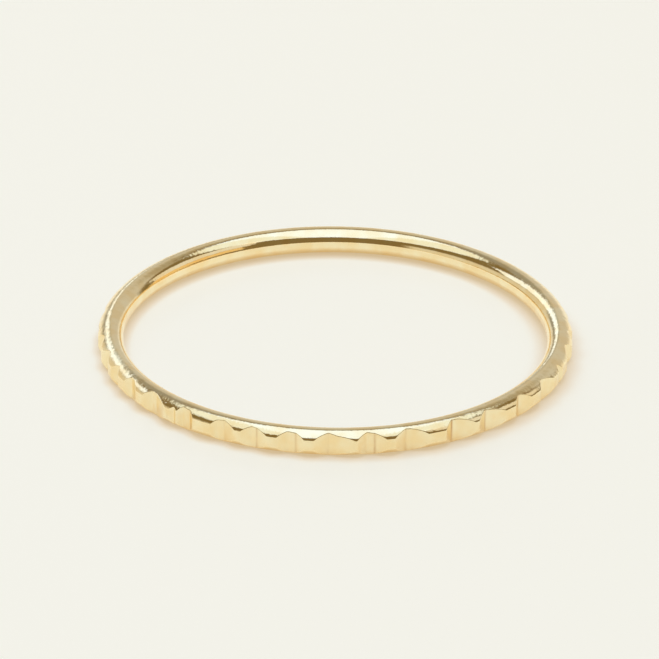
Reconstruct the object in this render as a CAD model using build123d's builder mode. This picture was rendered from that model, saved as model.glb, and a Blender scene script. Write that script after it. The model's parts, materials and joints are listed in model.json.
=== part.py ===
from build123d import *

import os
from collections import namedtuple
from math import cos, radians, sin, sqrt

# A slim stacking ring lying flat: a closed loop of round wire, with irregular notches
# cut across its outer face. The origin is on the ground at the middle of the ring, +Z up.

# Driving dimensions, in millimetres
inner_diameter = 17.3  # the finger hole, US size 7
wire_diameter = 1.1
land_width = 0.2  # the narrow upright band that bears on the finger

wire_radius = wire_diameter / 2
inner_radius = inner_diameter / 2
loop_radius = inner_radius + sqrt(wire_radius**2 - (land_width / 2) ** 2)
outer_radius = loop_radius + wire_radius

# Notches round half a turn, in degrees seen from above. Each runs down an entry flank to
# its floor, along the floor and up an exit flank to the uncut wire again.
#   floor_at: where the floor starts
#   entry, floor, exit: the widths of the three flats
#   first_cut, last_cut: depth where the floor starts and ends, in wire radii
Notch = namedtuple("Notch", "floor_at entry floor exit first_cut last_cut")
half_turn_notches = [
    Notch(186.0, 3.0, 1.2, 3.6, 0.50, 0.48),
    Notch(194.6, 3.4, 0.9, 3.2, 0.52, 0.48),
    Notch(202.8, 3.0, 0.6, 2.0, 0.46, 0.44),
    Notch(210.0, 2.1, 1.3, 3.3, 0.52, 0.48),
    Notch(219.0, 2.6, 1.7, 5.1, 0.56, 0.54),
    Notch(227.6, 1.6, 0.2, 1.8, 0.27, 0.27),
    Notch(229.9, 1.4, 2.6, 1.9, 0.50, 0.42),
    Notch(240.4, 1.7, 1.9, 3.9, 0.38, 0.47),
    Notch(249.6, 3.2, 1.4, 3.3, 0.46, 0.39),
    Notch(258.6, 2.9, 2.1, 2.6, 0.48, 0.40),
    Notch(268.5, 3.9, 2.2, 5.6, 0.55, 0.34),
    Notch(278.0, 3.0, 1.8, 3.4, 0.56, 0.44),
    Notch(287.6, 3.5, 1.1, 5.0, 0.55, 0.53),
    Notch(299.8, 2.6, 1.6, 5.1, 0.56, 0.54),
    Notch(309.7, 3.3, 0.8, 5.8, 0.54, 0.50),
    Notch(321.1, 2.6, 1.1, 3.4, 0.50, 0.48),
    Notch(331.2, 2.4, 0.8, 5.3, 0.50, 0.48),
    Notch(340.8, 1.7, 0.5, 1.1, 0.42, 0.40),
    Notch(351.2, 5.6, 0.8, 2.8, 0.52, 0.50),
    Notch(359.0, 2.8, 0.7, 3.0, 0.46, 0.44),
]
# Where each run of the notches starts, and its depth as a share of the depths above
half_turns = {0: 1.0, 180: 0.6}

# The crests between the notches are rubbed down to a narrow upright band
crest_rub = 0.09  # in wire radii
crest_radius = outer_radius - crest_rub * wire_radius

# A flank's plane is carried past the wire by this share, so that the notch is open
overrun = 0.5


def plan_point(radius, azimuth):
    return Vector(radius * cos(radians(azimuth)), radius * sin(radians(azimuth)))


def notch_outline(notch, turn, share):
    """The notch seen from above: two flanks and a floor, open to the outside."""
    floor_start = notch.floor_at + turn
    floor_end = floor_start + notch.floor
    first = plan_point(outer_radius - share * notch.first_cut * wire_radius, floor_start)
    last = plan_point(outer_radius - share * notch.last_cut * wire_radius, floor_end)
    entry_rim = plan_point(outer_radius, floor_start - notch.entry)
    exit_rim = plan_point(outer_radius, floor_end + notch.exit)
    entry_outside = entry_rim + (entry_rim - first) * overrun
    exit_outside = exit_rim + (exit_rim - last) * overrun
    return [entry_outside, first, last, exit_outside]


os.makedirs("parts", exist_ok=True)

with BuildPart() as ring_band:
    # The loop of round wire, its lowest line on the ground
    with BuildSketch(Plane.XZ) as wire_section:
        with Locations((loop_radius, wire_radius)):
            Circle(wire_radius)
    revolve(axis=Axis.Z)

    # The finger hole, which leaves the narrow land round the inside of the wire
    with BuildSketch(Plane.XY) as finger_hole:
        Circle(inner_radius)
    extrude(amount=wire_diameter, mode=Mode.SUBTRACT)

    # The notches, cut straight down through the outer side of the wire
    with BuildSketch(Plane.XY) as notch_plan:
        for turn, share in half_turns.items():
            for notch in half_turn_notches:
                with BuildLine():
                    Polyline(notch_outline(notch, turn, share), close=True)
                make_face()
    extrude(amount=wire_diameter, mode=Mode.SUBTRACT)

    # The crests left between them, rubbed flat
    with BuildSketch(Plane.XY) as crest_rubbing:
        Circle(outer_radius + wire_radius)
        Circle(crest_radius, mode=Mode.SUBTRACT)
    extrude(amount=wire_diameter, mode=Mode.SUBTRACT)

ring_band.part.label = "ring_band"
export_step(ring_band.part, "parts/ring_band.step")
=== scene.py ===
"""The looks of a slim gold stacking ring with notches cut across its outer face.

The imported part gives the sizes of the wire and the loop, and the notches repeat the CAD
part's. This script stands a finely meshed, softly edged ring in the part's place, polishes
it, and sets it on a pale floor under studio light.
"""

import json
from collections import namedtuple
from math import cos, radians, sin, sqrt

import bpy
import numpy as np
from mathutils import Matrix, Quaternion, Vector


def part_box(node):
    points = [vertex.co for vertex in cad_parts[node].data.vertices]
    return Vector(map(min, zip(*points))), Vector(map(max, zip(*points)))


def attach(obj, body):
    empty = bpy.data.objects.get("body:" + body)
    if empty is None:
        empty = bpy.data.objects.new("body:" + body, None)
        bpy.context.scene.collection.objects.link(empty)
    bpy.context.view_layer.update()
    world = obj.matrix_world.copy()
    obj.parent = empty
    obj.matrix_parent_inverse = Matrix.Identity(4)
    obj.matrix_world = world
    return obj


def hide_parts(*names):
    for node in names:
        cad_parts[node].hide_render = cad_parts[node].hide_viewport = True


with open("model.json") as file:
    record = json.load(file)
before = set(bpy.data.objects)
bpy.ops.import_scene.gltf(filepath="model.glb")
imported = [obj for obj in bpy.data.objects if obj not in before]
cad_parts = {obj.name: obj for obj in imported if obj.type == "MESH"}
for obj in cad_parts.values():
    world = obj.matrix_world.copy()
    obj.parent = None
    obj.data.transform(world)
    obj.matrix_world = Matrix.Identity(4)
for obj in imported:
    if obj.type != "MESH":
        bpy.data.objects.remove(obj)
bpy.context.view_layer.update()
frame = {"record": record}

MM = 0.001

# ---------------------------------------------------------------- sizes, from the frame
ring_low, ring_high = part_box("ring_band")
land = frame["record"]["mounts"][0]["dims"]
land_radius = land["r_mm"] * MM
land_width = land["length_mm"] * MM
wire_radius = (ring_high.z - ring_low.z) / 2
loop_radius = land_radius + sqrt(wire_radius**2 - (land_width / 2) ** 2)
outer_radius = loop_radius + wire_radius

# ---------------------------------------------------------------- the notches
# Notches round half a turn, in degrees seen from above, as in the CAD part. Each runs down
# an entry flank to its floor, along the floor and up an exit flank to the uncut wire.
#   floor_at: where the floor starts
#   entry, floor, exit: the widths of the three flats
#   first_cut, last_cut: depth where the floor starts and ends, in wire radii
Notch = namedtuple("Notch", "floor_at entry floor exit first_cut last_cut")
half_turn_notches = [
    Notch(186.0, 3.0, 1.2, 3.6, 0.50, 0.48),
    Notch(194.6, 3.4, 0.9, 3.2, 0.52, 0.48),
    Notch(202.8, 3.0, 0.6, 2.0, 0.46, 0.44),
    Notch(210.0, 2.1, 1.3, 3.3, 0.52, 0.48),
    Notch(219.0, 2.6, 1.7, 5.1, 0.56, 0.54),
    Notch(227.6, 1.6, 0.2, 1.8, 0.27, 0.27),
    Notch(229.9, 1.4, 2.6, 1.9, 0.50, 0.42),
    Notch(240.4, 1.7, 1.9, 3.9, 0.38, 0.47),
    Notch(249.6, 3.2, 1.4, 3.3, 0.46, 0.39),
    Notch(258.6, 2.9, 2.1, 2.6, 0.48, 0.40),
    Notch(268.5, 3.9, 2.2, 5.6, 0.55, 0.34),
    Notch(278.0, 3.0, 1.8, 3.4, 0.56, 0.44),
    Notch(287.6, 3.5, 1.1, 5.0, 0.55, 0.53),
    Notch(299.8, 2.6, 1.6, 5.1, 0.56, 0.54),
    Notch(309.7, 3.3, 0.8, 5.8, 0.54, 0.50),
    Notch(321.1, 2.6, 1.1, 3.4, 0.50, 0.48),
    Notch(331.2, 2.4, 0.8, 5.3, 0.50, 0.48),
    Notch(340.8, 1.7, 0.5, 1.1, 0.42, 0.40),
    Notch(351.2, 5.6, 0.8, 2.8, 0.52, 0.50),
    Notch(359.0, 2.8, 0.7, 3.0, 0.46, 0.44),
]
# How far each run of the notches is turned, in degrees, and its depth as a share of the
# depths above
half_turns = {0: 1.0, 180: 0.6}

# The crests between the notches are rubbed down to a narrow upright band
crest_rub = 0.09  # in wire radii
crest_radius = outer_radius - crest_rub * wire_radius

# ---------------------------------------------------------------- valley lines and wear, in this mesh only
# Lines along the valleys, in degrees, and how strongly each is grooved and darkened
dark_valley_lines = {
    226.0: 0.2,
    232.5: 0.4,
    242.3: 0.2,
    251.0: 0.5,
    260.7: 0.5,
    268.5: 0.2,
    279.8: 0.8,
    287.6: 0.4,
    299.8: 0.8,
    309.7: 0.4,
    321.1: 0.6,
}
valley_line_width = 0.25  # in degrees
valley_line_depth = 0.012 * MM

# Each edge between a cut and the round of the wire is worn to this radius
edge_radius = 0.05 * MM
# The creases between the flats are softened over this angle each way
crease_blur = radians(0.12)
blur_steps = 7

# ---------------------------------------------------------------- the mesh's grid
columns_round = 1440
# Where rows lie over the upper half of the section, as shares of each stretch: up the wall,
# round its edge, over the wire to the land, close about the land's edge (as shares of the
# whole angle up to it) and down the land to mid height
wall_shares = [0.0, 0.45, 0.8, 0.95]
fillet_shares = [0.0, 0.2, 0.4, 0.6, 0.8, 1.0]
round_shares = [0.02, 0.06, 0.12, 0.19, 0.26, 0.33, 0.40, 0.47]
round_shares += [0.54, 0.61, 0.68, 0.75, 0.82, 0.88, 0.93, 0.97]
land_edge_shares = [0.985, 1.0, 1.012]
land_shares = [0.35, 0.7, 1.0]
# The least angles that the wall and its edge take up where the wire is uncut
least_wall = radians(8)
least_fillet = radians(8)
# The wall always ends before the first of these section angles, in radians, and the land
# always starts past the second
before_top = 1.5
past_top = 2.0

# ---------------------------------------------------------------- what the material reads
# A point counts wholly as cut where it lies this far inside the round of the wire
full_cut = 0.02 * MM
# How uneven the surface is on the wire's inner and outer sides, and what that is
# multiplied by at the ring's front and back, and at its left and right
uneven_inner = 0.30
uneven_outer = 1.0
uneven_front = 0.45
uneven_side = 1.55


def plan_point(radius, azimuth):
    return np.array([radius * cos(radians(azimuth)), radius * sin(radians(azimuth))])


def notch_flats(notch, turn, share):
    """The notch's three flats seen from above, each as its two end points."""
    floor_start = notch.floor_at + turn
    floor_end = floor_start + notch.floor
    first = plan_point(outer_radius - share * notch.first_cut * wire_radius, floor_start)
    last = plan_point(outer_radius - share * notch.last_cut * wire_radius, floor_end)
    entry_rim = plan_point(outer_radius, floor_start - notch.entry)
    exit_rim = plan_point(outer_radius, floor_end + notch.exit)
    return [(entry_rim, first), (first, last), (last, exit_rim)]


def cut_radius(azimuths):
    """How far from the ring's axis the metal reaches at each azimuth, at mid height."""
    reach = np.full(azimuths.shape, crest_radius)
    ray_x, ray_y = np.cos(azimuths), np.sin(azimuths)
    for turn, depth_share in half_turns.items():
        for notch in half_turn_notches:
            for start, end in notch_flats(notch, turn, depth_share):
                along = end - start
                across = ray_x * along[1] - ray_y * along[0]
                distance = (start[0] * along[1] - start[1] * along[0]) / across
                share = (ray_x * distance - start[0]) * along[0]
                share += (ray_y * distance - start[1]) * along[1]
                share /= along @ along
                hit = (distance > 0) & (share >= 0) & (share <= 1)
                reach = np.where(hit, np.minimum(reach, distance), reach)
    return reach


def valley_line_strength(azimuths):
    """How strongly each azimuth lies on a dark valley line, from 0 to 1."""
    total = np.zeros(azimuths.shape)
    for line, strength in dark_valley_lines.items():
        total += strength * np.exp(-(((np.degrees(azimuths) - line) / valley_line_width) ** 2))
    return total


def worn_cut_radius(azimuths):
    """The cut radius with its creases softened, less the depth of the dark valley lines."""
    shifts = np.linspace(-crease_blur, crease_blur, blur_steps)
    mean = np.mean([cut_radius(azimuths + shift) for shift in shifts], axis=0)
    return mean - valley_line_depth * valley_line_strength(azimuths)


def rows_between(start, end, shares):
    return [start + (end - start) * share for share in shares]


def section_rows(wall_reach):
    """The section angles of the rows, and the wire's reach at each, for every column.

    The section is the wire's round, cut by an upright wall outside and by the land inside,
    with a rounded edge between wall and round. Angles are in radians and run from straight
    outward (0) up over the wire to straight inward (pi).
    """
    core = wire_radius - edge_radius
    edge_x = np.minimum(wall_reach - edge_radius, core)
    edge_z = np.sqrt(np.maximum(core**2 - edge_x**2, 0))
    land_x = land_radius - loop_radius
    wall_angle = np.arctan2(edge_z, wall_reach)
    round_angle = np.arctan2(edge_z, edge_x)
    land_angle = np.full(wall_reach.shape, np.arctan2(land_width / 2, land_x))

    wall_end = np.maximum(wall_angle, least_wall)
    fillet_end = np.maximum(round_angle, wall_end + least_fillet)
    angles = rows_between(0, wall_end, wall_shares)
    angles += rows_between(wall_end, fillet_end, fillet_shares)
    angles += rows_between(fillet_end, land_angle, round_shares)
    angles += rows_between(0, land_angle, land_edge_shares)
    angles += rows_between(land_angle, np.pi, land_shares)
    angles = np.array(angles)

    on_wall = wall_reach / np.cos(np.minimum(angles, before_top))
    edge_along = edge_x * np.cos(angles) + edge_z * np.sin(angles)
    on_edge = edge_along + np.sqrt(np.maximum(edge_along**2 - core**2 + edge_radius**2, 0))
    on_land = land_x / np.cos(np.maximum(angles, past_top))
    reach = np.where(angles < round_angle, on_edge, wire_radius)
    reach = np.where(angles < wall_angle, on_wall, reach)
    return angles, np.minimum(reach, np.where(angles > past_top, on_land, wire_radius))


def store(mesh, name, values):
    """Keep a value for each point of the mesh, for the material to read."""
    attribute = mesh.attributes.new(name, "FLOAT", "POINT")
    attribute.data.foreach_set("value", values.astype(np.float32).ravel())


def unevenness(azimuths, angles):
    """How uneven the surface is at each azimuth and section angle."""
    # 1 over the wire's outer side, -1 over its inner side, with a quick change over the top
    outward = np.clip(2 * np.cos(angles) + 0.5, -1, 1)
    round_wire = uneven_inner + (uneven_outer - uneven_inner) * (outward + 1) / 2
    round_ring = uneven_front + (uneven_side - uneven_front) * np.abs(np.cos(azimuths))
    return round_wire * round_ring


def ring_mesh():
    azimuths = np.arange(columns_round) * 2 * np.pi / columns_round
    wall_reach = np.minimum(worn_cut_radius(azimuths) - loop_radius, wire_radius)
    angles, reach = section_rows(wall_reach)
    # The lower half mirrors the upper, without the two rows that they share
    angles = np.vstack([angles, -angles[-2:0:-1]])
    reach = np.vstack([reach, reach[-2:0:-1]])
    from_axis = loop_radius + reach * np.cos(angles)
    height = ring_low.z + wire_radius + reach * np.sin(angles)
    points = [from_axis * np.cos(azimuths), from_axis * np.sin(azimuths), height]
    points = np.stack(points, axis=-1)

    rows = len(points)
    index = np.arange(rows * columns_round).reshape(rows, columns_round)
    above = np.roll(index, -1, axis=0)
    quads = [index, np.roll(index, -1, axis=1), np.roll(above, -1, axis=1), above]
    quads = np.stack(quads, axis=-1)
    mesh = bpy.data.meshes.new("ring_band_polished")
    mesh.from_pydata(points.reshape(-1, 3).tolist(), [], quads.reshape(-1, 4).tolist())
    mesh.shade_smooth()
    mesh.update()

    # How far each point lies on a cut flat: 1 on the flats, 0 on the round
    on_flat = np.clip((wire_radius - reach) / full_cut, 0, 1)
    on_flat = np.where(np.abs(angles) < np.pi / 2, on_flat, 0)
    store(mesh, "cut_flat", on_flat)
    store(mesh, "valley_line_strength", on_flat * valley_line_strength(azimuths))
    store(mesh, "worked", unevenness(azimuths, angles))
    return mesh


# ---------------------------------------------------------------- node helpers
def new_material(name):
    material = bpy.data.materials.new(name)
    material.use_nodes = True
    return material, material.node_tree.nodes, material.node_tree.links


def add_node(nodes, kind, **settings):
    node = nodes.new(kind)
    for name, value in settings.items():
        setattr(node, name, value)
    return node


def math_node(nodes, links, operation, first, second=None):
    node = add_node(nodes, "ShaderNodeMath", operation=operation)
    for socket, value in zip(node.inputs, (first, second)):
        if value is not None:
            links.new(value, socket)
    return node.outputs["Value"]


def map_range(nodes, links, value, source, target=(0, 1), kind="LINEAR"):
    """The value carried from the source range to the target range, and held within it."""
    node = add_node(nodes, "ShaderNodeMapRange", interpolation_type=kind)
    links.new(value, node.inputs["Value"])
    names = ("From Min", "From Max", "To Min", "To Max")
    for name, number in zip(names, (*source, *target)):
        node.inputs[name].default_value = number
    return node.outputs["Result"]


def mix_colours(nodes, links, share, first, second):
    """The first colour where the share is 0 and the second where it is 1."""
    mix = add_node(nodes, "ShaderNodeMix", data_type="RGBA")
    links.new(share, mix.inputs["Factor"])
    for name, colour in (("A", first), ("B", second)):
        if isinstance(colour, tuple):
            mix.inputs[name].default_value = (*colour, 1)
        else:
            links.new(colour, mix.inputs[name])
    return mix.outputs["Result"]


def mesh_value(nodes, name):
    return add_node(nodes, "ShaderNodeAttribute", attribute_name=name).outputs["Fac"]


# ---------------------------------------------------------------- gold
deep_gold = (0.985, 0.785, 0.44)
pale_gold = (1.0, 0.87, 0.57)
darker_line_gold = (0.66, 0.42, 0.20)
drift_scale = 1300
drift_range = (0.35, 0.65)  # of the noise, which turns deep gold into pale
darkening_range = (0.3, 1.4)  # how strongly the valley lines darken the gold, from deep to pale gold
round_roughness = 0.09
flat_roughness = 0.28
dent_scale = 3000
dent_detail = 4
dent_roughness = 0.65
dent_height = 0.014 * MM


def gold_material():
    material, nodes, links = new_material("polished_gold")
    shader = nodes["Principled BSDF"]
    shader.inputs["Metallic"].default_value = 1.0
    place = add_node(nodes, "ShaderNodeTexCoord")

    # Slight drift of the gold's colour
    drift = add_node(nodes, "ShaderNodeTexNoise")
    drift.inputs["Scale"].default_value = drift_scale
    links.new(place.outputs["Object"], drift.inputs["Vector"])
    paleness = map_range(nodes, links, drift.outputs["Fac"], drift_range)
    tint = mix_colours(nodes, links, paleness, deep_gold, pale_gold)

    # The gold is darker and more orange along the lines in the valleys
    patchy = map_range(nodes, links, paleness, (0, 1), darkening_range)
    darkening = math_node(nodes, links, "MULTIPLY", mesh_value(nodes, "valley_line_strength"), patchy)
    tint = mix_colours(nodes, links, darkening, tint, darker_line_gold)
    links.new(tint, shader.inputs["Base Color"])

    # The round is polished, and the flats keep the cutter's finer matt
    cut = mesh_value(nodes, "cut_flat")
    gloss = map_range(nodes, links, cut, (0, 1), (round_roughness, flat_roughness))
    links.new(gloss, shader.inputs["Roughness"])

    # Fine unevenness of the hammered and polished surface
    dents = add_node(nodes, "ShaderNodeTexNoise")
    dents.inputs["Scale"].default_value = dent_scale
    dents.inputs["Detail"].default_value = dent_detail
    dents.inputs["Roughness"].default_value = dent_roughness
    links.new(place.outputs["Object"], dents.inputs["Vector"])
    bump = add_node(nodes, "ShaderNodeBump")
    bump.inputs["Distance"].default_value = dent_height
    links.new(mesh_value(nodes, "worked"), bump.inputs["Strength"])
    links.new(dents.outputs["Fac"], bump.inputs["Height"])
    links.new(bump.outputs["Normal"], shader.inputs["Normal"])
    return material


# ---------------------------------------------------------------- floor
floor_half = 3.0  # in metres
paper_base = (0.225, 0.27, 0.277)
paper_roughness = 0.45
paper_specular = 0.6
# The light that the paper gives off by itself: under the ring, part way out from under it
# and clear of it. Under the ring and part way out it is a painted contact shadow, dimmer
# and warmer, the warmth a painted bounce of light off the gold
painted_shadow_under_ring = (0.52, 0.395, 0.25)
painted_shadow_part_way = (0.635, 0.515, 0.375)
glow_clear = (0.708, 0.666, 0.579)
part_way = 0.55
# How open the space over the paper is where that change starts and ends, from 0 to 1
open_range = (0.3, 0.9)
cover_samples = 8
# The painted shade reaches further out at the front right, on the side away from the
# window. A spot's measure along lee_side, taken from the ring's middle, turns into the
# reach there.
lee_side = (1, -0.5, 0)
lee_range = (2.0 * MM, 10.5 * MM)
shade_range = (0.54 * MM, 1.10 * MM)


def floor_material():
    material, nodes, links = new_material("pale_floor")
    shader = nodes["Principled BSDF"]
    shader.inputs["Base Color"].default_value = (*paper_base, 1)
    shader.inputs["Roughness"].default_value = paper_roughness
    shader.inputs["Specular IOR Level"].default_value = paper_specular

    place = add_node(nodes, "ShaderNodeTexCoord")
    lee = add_node(nodes, "ShaderNodeVectorMath", operation="DOT_PRODUCT")
    links.new(place.outputs["Object"], lee.inputs[0])
    lee.inputs[1].default_value = lee_side
    cover = add_node(nodes, "ShaderNodeAmbientOcclusion", samples=cover_samples)
    shade_reach = map_range(nodes, links, lee.outputs["Value"], lee_range, shade_range)
    links.new(shade_reach, cover.inputs["Distance"])

    # The paper's own glow keeps the shadows faint. The glow is painted dimmer and warmer
    # just where the ring covers the paper: a painted contact shadow with a painted warm
    # bounce from the gold.
    glow_with_painted_shadow = add_node(nodes, "ShaderNodeValToRGB")
    stops = glow_with_painted_shadow.color_ramp.elements
    stops[0].color = (*painted_shadow_under_ring, 1)
    stops.new(part_way).color = (*painted_shadow_part_way, 1)
    stops[-1].color = (*glow_clear, 1)
    links.new(map_range(nodes, links, cover.outputs["AO"], open_range), glow_with_painted_shadow.inputs["Fac"])
    links.new(glow_with_painted_shadow.outputs["Color"], shader.inputs["Emission Color"])
    shader.inputs["Emission Strength"].default_value = 1.0
    return material


# ---------------------------------------------------------------- pieces
def add_object(name, data):
    thing = bpy.data.objects.new(name, data)
    bpy.context.scene.collection.objects.link(thing)
    return thing


def build_ring():
    ring = add_object("ring_band_polished", ring_mesh())
    ring.data.materials.append(gold_material())
    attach(ring, "root")
    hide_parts("ring_band")


def build_floor():
    mesh = bpy.data.meshes.new("floor")
    signs = [(-1, -1), (1, -1), (1, 1), (-1, 1)]
    corners = [(x * floor_half, y * floor_half, 0) for x, y in signs]
    mesh.from_pydata(corners, [], [(0, 1, 2, 3)])
    floor = add_object("floor", mesh)
    mesh.materials.append(floor_material())


# ---------------------------------------------------------------- lights, in metres
# The softbox's middle lies a little to the left and towards the camera
softbox_x = -0.012
softbox_y = -0.045
softbox_height = 0.30
softbox_width = 0.534
softbox_depth = 0.51
core_width = 0.18
core_drop = 0.004  # hangs the core just below the softbox, so that it is seen in front
card_distance = 0.40
reflector_place = Vector((0.0132, 0.0066, 0.0045))
# How far the pane's middle is moved along its wall, towards the far side, and its height
pane_shift = 0.208
pane_height = 0.252


def area_light(name, place, aim, width, depth, radiance, colour, shape="RECTANGLE"):
    data = bpy.data.lights.new(name, "AREA")
    data.shape = shape
    data.size = width
    data.size_y = depth
    face = width * depth
    if shape == "ELLIPSE":
        face *= np.pi / 4
    # Cycles spreads an area light's power over its face and a half space
    data.energy = radiance * face * np.pi
    data.color = colour
    light = add_object(name, data)
    light.location = place
    light.rotation_mode = "QUATERNION"
    light.rotation_quaternion = (Vector(aim) - Vector(place)).to_track_quat("-Z", "Y")
    light.visible_camera = False
    return light


def toward(bearing, elevation):
    """A direction from the ring: bearing 0 is away from the camera and 90 to the right."""
    level = cos(radians(elevation))
    right = level * sin(radians(bearing))
    away = level * cos(radians(bearing))
    return Vector((right, away, sin(radians(elevation))))


def card(name, middle, aim, width, height, roll, radiance, colour):
    """A flat lit card, turned about the line to its aim by the roll in degrees."""
    light = area_light(name, middle, aim, width, height, radiance, colour)
    spin = Quaternion((0, 0, 1), radians(roll))
    light.rotation_quaternion = light.rotation_quaternion @ spin
    return light


def build_lights():
    area_light(
        "overhead_softbox",
        place=(softbox_x, softbox_y, softbox_height),
        aim=(softbox_x, softbox_y, 0),
        width=softbox_width,
        depth=softbox_depth,
        radiance=0.92,
        colour=(0.75, 0.88, 1.0),
        shape="ELLIPSE",
    )
    # The softbox's brighter middle, a stripe that runs away from the camera
    area_light(
        "softbox_core",
        place=(0, softbox_y, softbox_height - core_drop),
        aim=(0, softbox_y, 0),
        width=core_width,
        depth=softbox_depth,
        radiance=0.50,
        colour=(0.20, 0.42, 1.0),
    )
    # A card to the right, leaning so that its far end is the lower
    card(
        "right_card",
        middle=toward(94, 33) * card_distance,
        aim=(0, 0, 0),
        width=0.46,
        height=0.15,
        roll=-23,
        radiance=0.62,
        colour=(0.93, 0.97, 1.0),
    )
    # A small warm reflector low on the right, facing the far left, which gives the inside
    # of the ring's back its orange tone and leaves the floor pale
    reflector = card(
        "warm_reflector",
        middle=reflector_place,
        aim=reflector_place + toward(-58, 0),
        width=0.020,
        height=0.0055,
        roll=-10,
        radiance=0.62,
        colour=(1.0, 0.70, 0.34),
    )
    reflector.visible_diffuse = False

    # An upright window pane to the left, reaching further to the far side than to the near
    facing = toward(-60, 0) * card_distance
    middle = facing + toward(30, 0) * pane_shift + Vector((0, 0, pane_height))
    card(
        "left_pane",
        middle=middle,
        aim=middle - facing,
        width=0.6468,
        height=0.152,
        roll=0,
        radiance=1.2,
        colour=(0.65, 0.78, 1.0),
    )


# ---------------------------------------------------------------- the studio round the ring
# Radiance of its parts
near_wall = (0.22, 0.16, 0.07)
far_left_wall = (0.33, 0.31, 0.27)
far_right_wall = (0.60, 0.57, 0.52)
far_right_top = (0.42, 0.37, 0.28)
horizon = (0.80, 0.77, 0.70)
pale_sheet = (0.72, 0.66, 0.54)
ceiling = (0.22, 0.16, 0.07)
backdrop_paper = (0.896, 0.888, 0.814)
# Where one part gives way to the next, in degrees. Bearings:
far_left_starts = (-50, -32)
far_right_starts = (-14, 2)
far_side_ends = (52, 60)  # to the left and to the right
sheet_starts = (-146, -138)
sheet_ends = (-40, -30)
# Elevations:
far_right_dims = (32, 44)
horizon_ends = (7, 11)
sheet_top = (18, 27)
ceiling_starts = (46, 54)


def build_world():
    """A dim studio, and a plain pale backdrop where the camera sees past the floor."""
    world = bpy.data.worlds.new("studio")
    bpy.context.scene.world = world
    world.use_nodes = True
    nodes, links = world.node_tree.nodes, world.node_tree.links
    background = nodes["Background"]
    place = add_node(nodes, "ShaderNodeTexCoord")
    split = add_node(nodes, "ShaderNodeSeparateXYZ")
    links.new(place.outputs["Generated"], split.inputs["Vector"])
    bearing = math_node(nodes, links, "ARCTAN2", split.outputs["X"], split.outputs["Y"])
    elevation = math_node(nodes, links, "ARCSINE", split.outputs["Z"])

    def blend(angle, across, before, after):
        """A colour that turns from one to the other as the angle goes across the range."""
        source = [radians(degrees) for degrees in across]
        share = map_range(nodes, links, angle, source, kind="SMOOTHSTEP")
        return mix_colours(nodes, links, share, before, after)

    # The far side is grey on the left and paler on the right, with a bright low horizon.
    # All the rest is dim and warm.
    walls = blend(bearing, far_left_starts, near_wall, far_left_wall)
    right_walls = blend(elevation, far_right_dims, far_right_wall, far_right_top)
    walls = blend(bearing, far_right_starts, walls, right_walls)
    far_side = blend(elevation, horizon_ends, horizon, walls)
    off_far = math_node(nodes, links, "ABSOLUTE", bearing)
    surround = blend(off_far, far_side_ends, far_side, near_wall)
    # A pale sheet low on the left
    low_left = blend(elevation, sheet_top, pale_sheet, surround)
    left_side = blend(bearing, sheet_starts, surround, low_left)
    surround = blend(bearing, sheet_ends, left_side, surround)
    surround = blend(elevation, ceiling_starts, surround, ceiling)
    links.new(surround, background.inputs["Color"])

    # What the camera sees directly
    backdrop = add_node(nodes, "ShaderNodeBackground")
    backdrop.inputs["Color"].default_value = (*backdrop_paper, 1)
    seen = add_node(nodes, "ShaderNodeLightPath")
    choose = add_node(nodes, "ShaderNodeMixShader")
    links.new(seen.outputs["Is Camera Ray"], choose.inputs["Fac"])
    links.new(background.outputs["Background"], choose.inputs[1])
    links.new(backdrop.outputs["Background"], choose.inputs[2])
    links.new(choose.outputs["Shader"], nodes["World Output"].inputs["Surface"])


# ---------------------------------------------------------------- camera
camera_elevation = radians(26.6)
camera_roll = radians(0.65)
camera_distance = 0.36
sensor_width = 0.036
view_width = 2.93 * loop_radius
# The view's centre, off the loop's: to the left and up, in the picture's plane
view_left = 0.24 * MM
view_up = 0.34 * MM
clip_start = 0.01
clip_end = 10


def build_camera():
    data = bpy.data.cameras.new("camera")
    data.sensor_width = sensor_width / MM
    data.lens = sensor_width / MM * camera_distance / view_width
    data.clip_start = clip_start
    data.clip_end = clip_end
    camera = add_object("camera", data)
    toward_camera = Vector((0, -cos(camera_elevation), sin(camera_elevation)))
    up = Vector((0, sin(camera_elevation), cos(camera_elevation)))
    aim = Vector((0, 0, wire_radius)) - view_left * Vector((1, 0, 0)) + view_up * up
    roll = Matrix.Rotation(camera_roll, 4, toward_camera)
    turn = (-toward_camera).to_track_quat("-Z", "Y").to_matrix().to_4x4()
    place = Matrix.Translation(aim + toward_camera * camera_distance)
    camera.matrix_world = place @ roll @ turn
    bpy.context.scene.camera = camera


build_ring()
build_floor()
build_lights()
build_world()
build_camera()
bpy.context.scene.view_settings.view_transform = "Standard"
